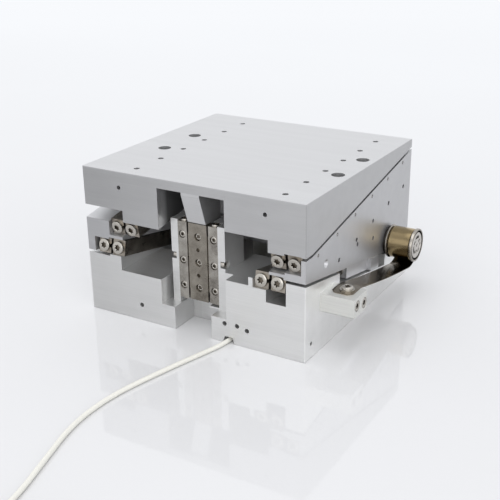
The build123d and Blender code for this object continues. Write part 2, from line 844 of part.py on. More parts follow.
# The band runs flat under its washer, then straight to a loose loop that comes off the
# back of the roll and passes below it.
band_top = bracket_top + band_thickness
loop_r = 8.6
loop_y = spool_y + roll_outer + 0.1 - loop_r
to_loop_y = loop_y - bracket_back
to_loop_z = spool_z - band_top
band_slope = asin(loop_r / sqrt(to_loop_y**2 + to_loop_z**2)) - atan2(to_loop_z, to_loop_y)


def on_loop(radius, angle):
    """Point on the loop, with the angle measured from straight down toward the back."""
    return (loop_y + radius * sin(angle), spool_z - radius * cos(angle))


def loop_arc(radius):
    """Arc from where the straight run ends to the back of the roll."""
    ThreePointArc(on_loop(radius, -band_slope), on_loop(radius, pi / 5), on_loop(radius, pi / 2))


with BuildPart() as spring_band:
    with BuildSketch(Plane.YZ.offset(band_left)):
        with BuildLine():
            under = loop_r + band_thickness
            Polyline((band_front, bracket_top), (bracket_back, bracket_top), on_loop(under, -band_slope))
            loop_arc(under)
            Line(on_loop(under, pi / 2), on_loop(loop_r, pi / 2))
            loop_arc(loop_r)
            Polyline(
                on_loop(loop_r, -band_slope), (bracket_back, band_top), (band_front, band_top), (band_front, bracket_top)
            )
        make_face()
    extrude(amount=band_right - band_left)
    chamfer(spring_band.edges().filter_by(Axis.Z).group_by(Axis.Y)[0], 1.6)
    with Locations(Plane((clamp_x, clamp_y, band_top))):
        Hole(clamp_screw_r + screw_clearance, depth=2 * band_thickness)
save(spring_band.part, "spring_band")


def turned(name, outline):
    """Piece turned about the spool's axis from an outline of (x, radius) points."""
    with BuildPart() as piece:
        with BuildSketch(Plane((0, spool_y, spool_z), x_dir=(1, 0, 0), z_dir=(0, -1, 0))):
            with BuildLine():
                Polyline(*outline, close=True)
            make_face()
        revolve(axis=Axis((0, spool_y, spool_z), (1, 0, 0)))
    save(piece.part, name)


roll_left = inner_flange_x + flange_thickness + 0.3
roll_right = band_right + 0.2
rim_left = roll_right + 0.3
rim_right = rim_left + rim_thickness
recess_x = rim_right - rim_recess
bore_r = shoulder_r + fit
axle_end = right - axle_hole_depth + 0.4

turned("spring_roll", ((roll_left, roll_inner), (roll_right, roll_inner), (roll_right, roll_outer), (roll_left, roll_outer)))
turned("spool_hub", (
    (inner_flange_x, bush_r),
    (recess_x, bush_r),
    (recess_x, rim_recess_r),
    (rim_right, rim_recess_r),
    (rim_right, flange_r - 0.4),
    (rim_right - 0.4, flange_r),
    (rim_left, flange_r),
    (rim_left, hub_r),
    (inner_flange_x + flange_thickness, hub_r),
    (inner_flange_x + flange_thickness, flange_r),
    (inner_flange_x, flange_r),
))
turned("spool_bush", ((inner_flange_x, bore_r), (recess_x, bore_r), (recess_x, bush_r), (inner_flange_x, bush_r)))

with BuildPart() as spool_axle:
    with BuildSketch(Plane.YZ.offset(axle_end)) as stud:
        with Locations((spool_y, spool_z)):
            Circle(axle_r - screw_clearance)
    extrude(amount=right - axle_end)
    with BuildSketch(Plane.YZ.offset(right)) as shoulder:
        with Locations((spool_y, spool_z)):
            Circle(shoulder_r)
    extrude(amount=recess_x + screw_clearance - right)
    with BuildSketch(Plane.YZ.offset(recess_x + screw_clearance)) as head:
        with Locations((spool_y, spool_z)):
            Circle(bolt_head_r)
            with PolarLocations(bolt_head_r * 0.62, 3, start_angle=30):
                Circle(0.45, mode=Mode.SUBTRACT)
    extrude(amount=bolt_head_height)
save(spool_axle.part, "spool_axle")

# ---------------------------------------------------------------- motor
motor_centre_x = (motor_left + motor_right) / 2
motor_middle = 66.0            # from the front face, at the middle of the travel
plate_width = 30.0
plate_length = 40.0
plate_height = 1.6
magnet_height = 1.4
magnet_count = 5
magnet_pitch = 7.8
air_gap = 0.6
coil_width = 24.0
coil_length = 26.0
coil_height = 6.0
mount_width = 16.0
mount_length = 20.0


def slab_box(x_low, x_high, bottom, top, middle, length):
    """Box under the lower incline: offsets of its underside and top, and its run."""
    at = on_incline(lower_incline, (x_low + x_high) / 2, middle / slope_cos, bottom)
    with BuildSketch(at) as plan:
        Rectangle(x_high - x_low, length)
    extrude(plan.sketch, amount=top - bottom)


plate_under = motor_ceiling - plate_height
magnet_under = plate_under - magnet_height
coil_top = magnet_under - air_gap
with BuildPart() as magnet_plate:
    slab_box(
        motor_centre_x - plate_width / 2,
        motor_centre_x + plate_width / 2,
        plate_under,
        motor_ceiling,
        motor_middle,
        plate_length,
    )
save(magnet_plate.part, "magnet_plate")

with BuildPart() as magnets:
    for number in range(magnet_count):
        slab_box(
            motor_centre_x - plate_width / 2 + 1,
            motor_centre_x + plate_width / 2 - 1,
            magnet_under,
            plate_under,
            motor_middle + (number - (magnet_count - 1) / 2) * magnet_pitch * slope_cos,
            magnet_pitch - 0.8,
        )
save(magnets.part, "magnets")

with BuildPart() as motor_coil:
    slab_box(
        motor_centre_x - coil_width / 2,
        motor_centre_x + coil_width / 2,
        coil_top - coil_height,
        coil_top,
        motor_middle,
        coil_length,
    )
    fillet(motor_coil.edges().filter_by(Axis((0, 0, 0), lower_incline.z_dir)), 3)
save(motor_coil.part, "motor_coil")

coil_under = coil_top - coil_height
mount_front = motor_middle - mount_length / 2
mount_back = motor_middle + mount_length / 2
with BuildPart() as coil_mount:
    side_prism(
        motor_centre_x - mount_width / 2,
        motor_centre_x + mount_width / 2,
        [
            (front + mount_front, floor_z),
            (front + mount_back, floor_z),
            (front + mount_back, down(mount_back, coil_under)),
            (front + mount_front, down(mount_front, coil_under)),
        ],
    )
save(coil_mount.part, "coil_mount")

# ---------------------------------------------------------------- encoder
scale_x = -25.5
scale_width = 4.0
scale_length = 44.0
scale_height = 0.5
head_width = 7.0
head_length = 11.0
head_height = 4.0
head_gap = 0.6
web_underside = rail_half + seat_relief
scale_middle = (web_front + depth) / 2

with BuildPart() as encoder_scale:
    slab_box(
        scale_x - scale_width / 2,
        scale_x + scale_width / 2,
        web_underside - scale_height,
        web_underside,
        scale_middle,
        scale_length,
    )
save(encoder_scale.part, "encoder_scale")

head_top = web_underside - scale_height - head_gap
with BuildPart() as read_head:
    slab_box(scale_x - head_width / 2, scale_x + head_width / 2, head_top - head_height, head_top, scale_middle, head_length)
save(read_head.part, "read_head")

head_under = head_top - head_height
head_front = scale_middle - head_length / 2 + 0.8
head_back = scale_middle + head_length / 2 - 0.8
with BuildPart() as encoder_bracket:
    side_prism(
        scale_x - head_width / 2,
        scale_x + head_width / 2,
        [
            (front + head_front, floor_z),
            (front + head_back, floor_z),
            (front + head_back, down(head_back, head_under)),
            (front + head_front, down(head_front, head_under)),
        ],
    )
save(encoder_bracket.part, "encoder_bracket")

# ---------------------------------------------------------------- cable
cable_r = 0.8
cable_z = cable_r + 0.05
grommet_front = front + 6.0
grommet_back = front + 12.0
# Route of the stretch that isn't coiled: from the grommet, out under the front edge and
# along the surface that the stage stands on.
cable_route = [
    (notch_x, grommet_front),
    (notch_x, front - 2.5),
    (12.1, front - 14.0),
    (6.7, front - 33.5),
    (2.6, front - 51.5),
    (2.8, front - 70.0),
    (8.7, front - 89.5),
    (13.5, front - 105.5),
    (15.0, front - 121.0),
]
coil_middle_r = 9.0            # to the middle of the turns
coil_layers = 4                # turns beside and above each other
coil_half = coil_layers * cable_r
outer_turn_r = coil_middle_r + coil_half - cable_r
coil_outer_r = coil_middle_r + coil_half
# The outermost turn carries on in line with the route's last run.
lead_in = sqrt(coil_outer_r**2 - (outer_turn_r - cable_r) ** 2) + 0.05
last_run = (Vector(*cable_route[-1]) - Vector(*cable_route[-2])).normalized()
coil_centre = Vector(*cable_route[-1]) + last_run * lead_in + Vector(-last_run.Y, last_run.X) * outer_turn_r
tie_width = 3.0
tie_thickness = 0.5
tie_angle = 35.0
plug_r = 3.5
plug_length = 15.0
boot_length = 6.0
boot_r = 1.5


def corner_radii(points):
    """Largest arcs that the runs leave room for, one for each corner."""
    radii = []
    for before, corner, after in zip(points, points[1:], points[2:]):
        arriving = Vector(*corner) - Vector(*before)
        leaving = Vector(*after) - Vector(*corner)
        turn = radians(arriving.get_angle(leaving))
        radii.append(0.45 * min(arriving.length, leaving.length) / tan(turn / 2))
    return radii


route_radii = corner_radii(cable_route)
print("cable radii", [round(radius, 1) for radius in route_radii])
with BuildPart() as signal_cable:
    with BuildLine(Plane.XY.offset(cable_z)) as route:
        FilletPolyline(*cable_route, radius=route_radii)
    with BuildSketch(Plane(route.line @ 0, z_dir=route.line % 0)):
        Circle(cable_r)
    sweep(path=route.line)
save(signal_cable.part, "signal_cable")
tube_length = sum(stretch.length for stretch in route.edges())
tube_volume = tube_length * pi * cable_r**2
print("tube", round(tube_length, 1), "mm, volume ratio", round(signal_cable.part.volume / tube_volume, 4))

with BuildPart() as cable_grommet:
    with BuildSketch(Plane.XZ.offset(-grommet_front)):
        with BuildLine():
            Polyline(
                (notch_x - notch_bottom / 2 + 0.1, 0.1),
                (notch_x + notch_bottom / 2 - 0.1, 0.1),
                (notch_x + notch_top / 2 - 0.1, cable_notch_z - 0.1),
                (notch_x - notch_top / 2 + 0.1, cable_notch_z - 0.1),
                close=True,
            )
        make_face()
    extrude(amount=grommet_front - grommet_back)
save(cable_grommet.part, "cable_grommet")

with BuildPart() as cable_coil:
    with BuildSketch(Plane.XZ.offset(-coil_centre.Y)):
        with Locations((coil_centre.X + coil_middle_r, coil_half)):
            section = Rectangle(2 * coil_half, 2 * coil_half)
            chamfer(section.vertices(), cable_r / 2)
    revolve(axis=Axis((coil_centre.X, coil_centre.Y, 0), (0, 0, 1)))
    tie_spot = Plane(
        origin=(coil_centre.X, coil_centre.Y, coil_half),
        x_dir=(cos(radians(tie_angle)), sin(radians(tie_angle)), 0),
        z_dir=(-sin(radians(tie_angle)), cos(radians(tie_angle)), 0),
    )
    with BuildSketch(tie_spot) as groove:
        with Locations((coil_middle_r, 0)):
            Rectangle(2 * coil_half + 2, 2 * coil_half + 2)
            Rectangle(2 * (coil_half - tie_thickness), 2 * (coil_half - tie_thickness), mode=Mode.SUBTRACT)
    extrude(groove.sketch, amount=tie_width / 2, both=True, mode=Mode.SUBTRACT)
save(cable_coil.part, "cable_coil")

with BuildPart() as cable_tie:
    with BuildSketch(tie_spot):
        with Locations((coil_middle_r, 0)):
            RectangleRounded(2 * coil_half, 2 * coil_half, tie_thickness)
            Rectangle(2 * (coil_half - tie_thickness), 2 * (coil_half - tie_thickness), mode=Mode.SUBTRACT)
    extrude(amount=tie_width / 2 - 0.05, both=True)
save(cable_tie.part, "cable_tie")

with BuildPart() as cable_connector:
    plug_line = Axis((coil_centre.X + lead_in + 1, coil_centre.Y - outer_turn_r, plug_r), (1, 0, 0))
    with BuildSketch(Plane(plug_line.position)):
        with BuildLine():
            Polyline(
                (0, 0),
                (0, boot_r),
                (boot_length, plug_r - 0.9),
                (boot_length, plug_r),
                (boot_length + plug_length, plug_r),
                (boot_length + plug_length, 0),
                close=True,
            )
        make_face()
    revolve(axis=plug_line)
    with BuildSketch(Plane.YZ.offset(plug_line.position.X + boot_length + plug_length)) as socket:
        with Locations((plug_line.position.Y, plug_r)):
            Circle(plug_r - 0.7)
    extrude(socket.sketch, amount=-4, mode=Mode.SUBTRACT)
save(cable_connector.part, "cable_connector")
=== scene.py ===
import json
from math import asin, atan2, cos, hypot, pi, radians, sin

import bmesh
import bpy
import numpy as np
from mathutils import Euler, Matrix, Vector


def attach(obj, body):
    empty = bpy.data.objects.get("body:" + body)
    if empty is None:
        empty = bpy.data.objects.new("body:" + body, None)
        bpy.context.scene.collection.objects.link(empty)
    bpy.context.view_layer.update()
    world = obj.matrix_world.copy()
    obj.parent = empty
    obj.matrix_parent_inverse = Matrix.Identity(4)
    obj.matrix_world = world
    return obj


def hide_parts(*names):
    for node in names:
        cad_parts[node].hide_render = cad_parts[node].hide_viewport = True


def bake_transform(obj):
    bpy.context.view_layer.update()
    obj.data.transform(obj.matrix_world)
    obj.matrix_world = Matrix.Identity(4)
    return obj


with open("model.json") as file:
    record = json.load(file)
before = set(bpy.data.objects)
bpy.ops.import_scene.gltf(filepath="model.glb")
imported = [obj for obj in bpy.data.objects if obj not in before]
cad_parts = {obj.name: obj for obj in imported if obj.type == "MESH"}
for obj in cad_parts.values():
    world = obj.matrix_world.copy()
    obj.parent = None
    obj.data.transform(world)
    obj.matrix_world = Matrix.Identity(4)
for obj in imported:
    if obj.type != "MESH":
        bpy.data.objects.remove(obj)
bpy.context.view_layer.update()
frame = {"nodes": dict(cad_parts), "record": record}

# A wedge-driven vertical lift stage: milled aluminium bodies, ground steel rails with their
# cages and screws, a golden spring tape on a spool, and a white signal cable.
# The script works in metres; lengths are written in millimetres times mm.
mm = 0.001

# ------------------------------------------------------------------ sizes
front_y = -46 * mm
right_x = 46.5 * mm
top_z = 57.6 * mm
slope = radians(10.2)
upper_origin = np.array((0, front_y, 35.2 * mm))
lower_origin = np.array((0, front_y, 27.3 * mm))
upper_run = np.array((0, cos(slope), sin(slope)))
lower_run = np.array((0, cos(slope), -sin(slope)))
upper_normal = np.array((0, -sin(slope), cos(slope)))
across = np.array((1.0, 0, 0))

rail_start = 1.737 * mm
rail_length = 90 * mm
rail_pitch = 15 * mm
rail_middle = 3.25 * mm            # from a pair's centre to a rail's centre
rail_screw_line = 3.7 * mm         # from a pair's centre to the screws
upper_left = -29.6 * mm
upper_right = 38.5 * mm
lower_left = -36.4 * mm
lower_right = 32.0 * mm

spool_y = 25.3 * mm
spool_z = 21.3 * mm
inner_flange_x = right_x + 1.25 * mm
rim_left_x = right_x + 11.0 * mm
rim_right_x = right_x + 12.2 * mm


# ------------------------------------------------------------------ shader arithmetic
class Wire:
    """A shader socket that takes part in Python arithmetic.

    Each operator adds one Math node; the wire stands on its left.
    """

    def __init__(self, finish, socket):
        self.finish = finish
        self.socket = socket

    def math(self, operation, *terms):
        return self.finish.node("ShaderNodeMath", {"operation": operation}, terms)

    def __add__(self, other):
        return self.math("ADD", self, other)

    def __sub__(self, other):
        return self.math("SUBTRACT", self, other)

    def __mul__(self, other):
        return self.math("MULTIPLY", self, other)

    def __abs__(self):
        return self.math("ABSOLUTE", self)


class Finish:
    """One material: a Principled shader and the nodes that feed it."""

    def __init__(self, name, **constants):
        self.name = name
        self.material = bpy.data.materials.new(name)
        self.material.use_nodes = True
        self.tree = self.material.node_tree
        self.shader = self.tree.nodes["Principled BSDF"]
        for label, value in constants.items():
            self.shader.inputs[label.replace("_", " ")].default_value = value

    def node(self, kind, settings=None, sockets=(), output=0):
        """Adds a node: its settings first, then its sockets' values or links."""
        node = self.tree.nodes.new(kind)
        for label, value in (settings or {}).items():
            setattr(node, label, value)
        pairs = sockets.items() if isinstance(sockets, dict) else enumerate(sockets)
        for key, value in pairs:
            self.feed(node.inputs[key], value)
        return Wire(self, node.outputs[output])

    def feed(self, socket, value):
        if isinstance(value, Wire):
            self.tree.links.new(value.socket, socket)
        else:
            socket.default_value = value

    def set(self, label, wire):
        self.feed(self.shader.inputs[label], wire)

    def place(self, stretch=(1, 1, 1)):
        """Object coordinates in metres, stretched along each axis."""
        where = self.node("ShaderNodeTexCoord", output="Object")
        return self.node("ShaderNodeMapping", None, {"Vector": where, "Scale": stretch})

    def axes(self):
        """The object coordinates x, y and z in metres, as three wires."""
        split = self.node("ShaderNodeSeparateXYZ", None, (self.place(),))
        return [Wire(self, socket) for socket in split.socket.node.outputs]

    def noise(self, vector, scale, detail=3.0, roughness=0.55):
        sockets = {"Vector": vector, "Scale": scale, "Detail": detail, "Roughness": roughness}
        return self.node("ShaderNodeTexNoise", None, sockets, "Fac")

    def spread(self, wire, low, high, out_low, out_high):
        """Maps low..high to out_low..out_high, held at both ends."""
        ends = {"From Min": low, "From Max": high, "To Min": out_low, "To Max": out_high}
        return self.node("ShaderNodeMapRange", None, {"Value": wire, **ends})

    def mix(self, factor, colour_a, colour_b):
        """Colour mix; the colours are RGB triples or wires."""
        first, second = (
            colour if isinstance(colour, Wire) else (*colour, 1) for colour in (colour_a, colour_b)
        )
        # sockets 0, 6 and 7 are the factor and the two colours, and output 2 is the colour
        sockets = {0: factor, 6: first, 7: second}
        return self.node("ShaderNodeMix", {"data_type": "RGBA"}, sockets, 2)

    def bump(self, height, distance, strength=1.0):
        sockets = {"Height": height, "Distance": distance, "Strength": strength}
        self.set("Normal", self.node("ShaderNodeBump", None, sockets))


# ------------------------------------------------------------------ finishes
def scaled(tone, factor):
    """The tone made lighter or darker, held at full brightness."""
    return tuple(min(1.0, channel * factor) for channel in tone)


lug_half = 3.75 * mm               # half width of the platform's lug between the guide posts


def milled_aluminium(name, tone, deep, reach=20 * mm, flank_light=1.0, front=1.0):
    """Satin clear-anodised aluminium with the fine parallel marks of a face mill.

    It has painted shade inside, and is rougher and less metallic there: the deeper behind the
    front face and the farther from the sides and top, the darker, down to the deep factor at the
    reach. The lug in the middle is spared. The flank factor is painted light on the left and
    right faces and the front factor painted light on the front, which also takes a painted
    reflection that darkens it toward its left.
    """
    finish = Finish(name, Metallic=0.82, Roughness=0.36)
    marks = finish.noise(finish.place((60, 4200, 4200)), 1.0, 2.0)
    passes = finish.noise(finish.place((8, 260, 260)), 1.0, 1.0)
    cloud = finish.noise(finish.place(), 38.0, 4.0)
    shade = finish.spread(marks * 0.45 + passes * 0.25 + cloud * 0.3, 0.35, 0.65, 0.0, 1.0)
    side, along, height = finish.axes()
    behind = finish.spread(along, front_y + 1.5 * mm, front_y + reach, 0.0, 1.0)
    beside_lug = finish.spread(abs(side), lug_half, lug_half + 0.25 * mm, 0.0, 1.0)
    inboard = finish.spread(abs(side), right_x - 6 * mm, right_x - 0.5 * mm, 1.0, 0.0)
    below = finish.spread(height, top_z - 3 * mm, top_z - 0.5 * mm, 1.0, 0.0)
    # painted shade inside: this mask darkens the base colour down to the deep factor, and it also
    # makes the inside rougher and less metallic
    inside_shade_and_rough = behind * inboard * below * beside_lug
    # painted light: the flank and front factors lighten or darken the side and front faces, and a
    # painted reflection darkens the front toward its left
    on_flank = finish.spread(abs(side), right_x - 0.4 * mm, right_x - 0.1 * mm, 0.0, 1.0)
    on_front = finish.spread(along, front_y + 0.1 * mm, front_y + 0.4 * mm, 1.0, 0.0)
    on_front = on_front * finish.spread(height, top_z - 0.4 * mm, top_z - 0.1 * mm, 1.0, 0.0)
    front_painted_light = finish.spread(side, -40 * mm, 5 * mm, front * 0.78, front)
    painted_light_level = (on_flank * (flank_light - 1) + 1) * (on_front * (front_painted_light - 1) + 1)
    painted_light_level = painted_light_level * (inside_shade_and_rough * (deep - 1) + 1)
    colour = finish.mix(shade, scaled(tone, 0.94), scaled(tone, 1.05))
    sockets = {0: colour, "Scale": painted_light_level}
    finish.set("Base Color", finish.node("ShaderNodeVectorMath", {"operation": "SCALE"}, sockets))
    finish.set("Metallic", inside_shade_and_rough * -0.45 + 0.82)
    gloss = finish.spread(cloud * 0.5 + marks * 0.5, 0.3, 0.7, 0.30, 0.43)
    finish.set("Roughness", gloss + inside_shade_and_rough * 0.22)
    finish.bump(marks * 0.7 + passes * 0.3, 0.000012, 0.5)
    return finish


def ground_steel(name, dark, light):
    """Hardened rail steel, warm grey, ground along and across its faces."""
    finish = Finish(name, Metallic=0.95, Roughness=0.3)
    grind = finish.noise(finish.place((5200, 90, 5200)), 1.0, 2.0)
    stain = finish.noise(finish.place(), 210.0, 5.0)
    tone = finish.spread(grind * 0.4 + stain * 0.6, 0.32, 0.68, 0.0, 1.0)
    finish.set("Base Color", finish.mix(tone, dark, light))
    finish.set("Roughness", finish.spread(stain, 0.3, 0.7, 0.24, 0.4))
    finish.bump(grind, 0.000008, 0.5)
    return finish


def polished_steel(name, tone, rough):
    """Smooth metal with a little uneven gloss."""
    finish = Finish(name, Metallic=1.0, Roughness=rough)
    cloud = finish.noise(finish.place(), 420.0, 3.0)
    finish.set("Base Color", finish.mix(cloud, scaled(tone, 0.86), tone))
    finish.set("Roughness", finish.spread(cloud, 0.3, 0.7, rough * 0.8, rough * 1.4))
    finish.bump(cloud, 0.000005, 0.3)
    return finish


def plate_steel(name, tone):
    """Bright steel of the spool's end plate, with painted shade, near black, down in its holes and
    slots.
    """
    finish = polished_steel(name, tone, 0.25)
    side = finish.axes()[0]
    proud = finish.spread(side, rim_right_x - 0.42 * mm, rim_right_x - 0.16 * mm, 0.0, 1.0)
    speck = finish.noise(finish.place(), 900.0, 3.0)
    face = finish.mix(speck, scaled(tone, 0.75), tone)
    # painted shade: the recessed holes and slots are coloured near black
    finish.set("Base Color", finish.mix(proud, scaled(tone, 0.035), face))
    return finish


def spring_steel(name, tone):
    """Tempered strip, polished, with fine rolling streaks along its length."""
    finish = Finish(name, Metallic=1.0, Roughness=0.16)
    streak = finish.noise(finish.place((3600, 60, 60)), 1.0, 2.0)
    cloud = finish.noise(finish.place(), 130.0, 3.0)
    finish.set("Base Color", finish.mix(streak * 0.6 + cloud * 0.4, scaled(tone, 0.8), tone))
    finish.set("Roughness", finish.spread(streak * 0.5 + cloud * 0.5, 0.3, 0.7, 0.12, 0.24))
    finish.bump(streak, 0.000004, 0.4)
    return finish


def plain(name, tone, rough, grain, depth=0.00001):
    """Moulded surface: one colour with a fine grain."""
    finish = Finish(name, Roughness=rough)
    speck = finish.noise(finish.place(), grain, 3.0)
    finish.set("Base Color", finish.mix(speck, scaled(tone, 0.88), tone))
    finish.set("Roughness", finish.spread(speck, 0.3, 0.7, rough * 0.85, min(1.0, rough * 1.15)))
    finish.bump(speck, depth, 0.4)
    return finish


finish_list = [
    # the flank and front factors below are painted light on the side and front faces, and the deep
    # factor is painted shade inside
    milled_aluminium("base_aluminium", (0.68, 0.68, 0.675), 0.9, flank_light=1.25, front=1.05),
    milled_aluminium("wedge_aluminium", (0.55, 0.55, 0.56), 1.0, flank_light=0.93, front=0.95),
    milled_aluminium(
        "platform_aluminium", (0.55, 0.55, 0.555), 0.15, reach=6 * mm, flank_light=0.86, front=0.83
    ),
    milled_aluminium("bracket_aluminium", (0.71, 0.71, 0.68), 1.0),
    polished_steel("hub_aluminium", (0.36, 0.335, 0.30), 0.24),
    ground_steel("rail_steel", (0.17, 0.15, 0.125), (0.40, 0.365, 0.32)),
    ground_steel("guide_steel", (0.15, 0.135, 0.12), (0.46, 0.44, 0.40)),
    ground_steel("centre_steel", (0.13, 0.115, 0.095), (0.33, 0.305, 0.265)),
    polished_steel("cage_steel", (0.50, 0.46, 0.40), 0.3),
    polished_steel("roller_steel", (0.66, 0.66, 0.67), 0.12),
    polished_steel("screw_steel", (0.47, 0.445, 0.405), 0.2),
    # painted shade down in the screw sockets
    polished_steel("socket_shade_steel", (0.15, 0.13, 0.105), 0.3),
    polished_steel("shadow_steel", (0.04, 0.036, 0.032), 0.4),
    plate_steel("plate_steel", (0.60, 0.57, 0.53)),
    spring_steel("spring_steel", (0.36, 0.28, 0.155)),
    spring_steel("tape_steel", (0.235, 0.205, 0.16)),
    polished_steel("bush_bronze", (0.55, 0.40, 0.22), 0.32),
    polished_steel("magnet_nickel", (0.58, 0.57, 0.54), 0.22),
    plain("coil_resin", (0.05, 0.045, 0.04), 0.5, 900.0),
    polished_steel("scale_steel", (0.55, 0.48, 0.36), 0.3),
    plain("head_resin", (0.03, 0.03, 0.035), 0.45, 1200.0),
    plain("cable_white", (0.90, 0.89, 0.82), 0.5, 1500.0),
    plain("tie_black", (0.03, 0.03, 0.03), 0.9, 3200.0, depth=0.0001),
    plain("grommet_rubber", (0.05, 0.05, 0.05), 0.7, 1600.0),
    polished_steel("connector_metal", (0.60, 0.60, 0.61), 0.26),
]
finishes = {finish.name: finish for finish in finish_list}
slots = {part["node"]: part["material_slot"] for part in frame["record"]["subparts"]}
own_steel = {
    "guide_rail_left": "guide_steel",
    "guide_rail_right": "guide_steel",
    "guide_rail_centre": "centre_steel",
}
for node_name, node_object in frame["nodes"].items():
    finish = finishes[own_steel.get(node_name, slots[node_name])]
    node_object.data.materials.clear()
    node_object.data.materials.append(finish.material)


# ------------------------------------------------------------------ meshes
def grid_faces(rows, columns):
    """Quads of a grid of points, row by row; the last column joins the first."""
    first_columns = np.arange(columns)
    row, column = np.meshgrid(np.arange(rows - 1), first_columns, indexing="ij")
    following = (column + 1) % columns
    corners = (row * columns + column, row * columns + following)
    upper = ((row + 1) * columns + following, (row + 1) * columns + column)
    return np.stack(corners + upper, axis=-1).reshape(-1, 4)


def build(name, sheets, finish_name, sharp=35, inside=None):
    """Piece made of one or more grids of points, each an array of rows x columns x 3.

    sharp is the angle in degrees from which an edge is hard, and inside names a second finish and
    the number of last rows of faces of each grid that take it.
    """
    points, faces, second, start = [], [], [], 0
    for sheet in sheets:
        rows, columns = sheet.shape[:2]
        points.append(sheet.reshape(-1, 3))
        quads = grid_faces(rows, columns)
        faces.append(quads + start)
        last = inside[1] if inside else 0
        second.append(quads.min(axis=1) >= (rows - 1 - last) * columns)
        start += rows * columns
    mesh = bpy.data.meshes.new(name)
    mesh.from_pydata(np.concatenate(points).tolist(), [], np.concatenate(faces).tolist())
    if inside:
        mesh.polygons.foreach_set("material_index", np.concatenate(second).astype(np.int32))
    shell = bmesh.new()
    shell.from_mesh(mesh)
    bmesh.ops.remove_doubles(shell, verts=shell.verts, dist=1e-7)
    bmesh.ops.recalc_face_normals(shell, faces=shell.faces)
    shell.to_mesh(mesh)
    shell.free()
    mesh.polygons.foreach_set("use_smooth", np.ones(len(mesh.polygons), dtype=bool))
    mesh.set_sharp_from_angle(angle=radians(sharp))
    mesh.materials.append(finishes[finish_name].material)
    if inside:
        mesh.materials.append(finishes[inside[0]].material)
    piece = bpy.data.objects.new(name, mesh)
    bpy.context.scene.collection.objects.link(piece)
    return piece


def stand_for(piece, body, *nodes):
    """The piece moves with a body and is shown in place of CAD nodes."""
    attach(piece, body)
    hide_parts(*nodes)


def unit(vector):
    return np.asarray(vector, float) / np.linalg.norm(vector)


def turned(centre, axis, profile, lobes=None, columns=48, twist=0.0):
    """Surface of revolution: each row of the profile is (radius, height along the axis).

    A row that lobes names is not round: its radius is multiplied by 1 + depth * cos(6 * angle).
    """
    axis = unit(axis)
    side = unit(np.cross(axis, (0.31, 0.92, 0.17)))
    other = np.cross(axis, side)
    angle = np.linspace(0, 2 * pi, columns, endpoint=False)
    rows = np.array(profile, float)
    wave = np.zeros(len(rows)) if lobes is None else np.array(lobes, float)
    radius = rows[:, :1] * (1 + wave[:, None] * np.cos(6 * (angle - twist)))
    round_part = radius[..., None] * (
        np.cos(angle)[None, :, None] * side + np.sin(angle)[None, :, None] * other
    )
    return np.asarray(centre) + round_part + rows[:, 1][:, None, None] * axis


def screw_head(centre, axis, radius, height, twist=0.0, dome=0.1, socket=0.5, stem=0.0):
    """Head with a rounded rim, a slightly domed face and a deep six-lobed socket, closed below."""
    edge = min(0.24 * height, 0.14 * radius)
    mouth = radius * socket
    rim = height * (1 - dome)
    floor = max(height * 0.3, height - 1.1 * radius)
    profile = [
        (0, -stem),
        (radius * 0.5 if stem else radius * 0.9, -stem),
        (radius * 0.5 if stem else radius * 0.96, 0),
        (radius, 0),
        (radius, rim - edge),
        (radius - 0.3 * edge, rim - 0.3 * edge),
        (radius - edge, rim),
        (mouth * 1.5, height),
        (mouth * 1.12, height),
        (mouth, height - 0.05 * radius),
        (mouth * 0.97, floor + 0.1 * radius),
        (mouth * 0.9, floor),
        (0, floor - 0.05 * radius),
    ]
    lobes = [0.0] * 8 + [0.12, 0.17, 0.17, 0.12, 0.0]
    return turned(centre, axis, profile, lobes, twist=twist)


# ------------------------------------------------------------------ screws
def rail_ends(pairs):
    """Centres and outward axes of the end screws of rails given as (incline, pair, side)."""
    places = []
    for incline, pair, side in pairs:
        origin, run = (upper_origin, upper_run) if incline == "upper" else (lower_origin, lower_run)
        spot = origin + across * (pair + side * rail_middle)
        places.append((spot + run * rail_start, -run))
        places.append((spot + run * (rail_start + rail_length), run))
    return places


def heads(name, places, body, node, radius, height, **shape):
    """Screw heads at (centre, axis) places, as one piece in place of a CAD node."""
    sheets = [
        screw_head(spot, axis, radius, height, twist=0.37 * number, **shape)
        for number, (spot, axis) in enumerate(places)
    ]
    # the last rows, the socket, take a dark finish that is painted shade
    stand_for(build(name, sheets, "screw_steel", inside=("socket_shade_steel", 3)), body, node)


end_head_r = 2.45 * mm
end_head_height = 1.3 * mm
end_pairs = {
    "wedge": (
        ("upper", upper_left, -1),
        ("upper", upper_right, 1),
        ("lower", lower_left, -1),
        ("lower", lower_right, 1),
    ),
    "platform": (("upper", upper_left, 1), ("upper", upper_right, -1)),
    "base": (("lower", lower_left, 1), ("lower", lower_right, -1)),
}
for body, pairs in end_pairs.items():
    heads(
        f"{body}_end_heads", rail_ends(pairs), body, f"end_screws_{body}",
        end_head_r, end_head_height, socket=0.42,
    )

# The upright guide: three rails, screwed on from the front at three levels.
guide_face = front_y + 5.4 * mm
guide_seat = guide_face + 1.2 * mm
guide_levels = (16 * mm, 26 * mm, 36 * mm)
guide_screw_x = 6.7 * mm
guide_head_r = 1.35 * mm
toward_front = (0, -1, 0)
outer_places = [
    ((side * guide_screw_x, guide_seat, z), toward_front) for side in (-1, 1) for z in guide_levels
]
centre_places = [((0, guide_seat, z), toward_front) for z in guide_levels]
heads("guide_heads", outer_places, "base", "guide_rail_screws", guide_head_r, 1.0 * mm)
heads("centre_rail_heads", centre_places, "platform", "centre_rail_screws", guide_head_r, 0.6 * mm)

side_screw_x = 9.5 * mm
side_screw_y = front_y + 6.6 * mm
side_screw_z = 27.2 * mm
side_places = [
    ((side * side_screw_x, side_screw_y, side_screw_z), (side, 0, 0)) for side in (-1, 1)
]
heads(
    "guide_side_heads", side_places, "base", "guide_preload_screws",
    1.2 * mm, 1.6 * mm, stem=1.0 * mm, socket=0.42,
)

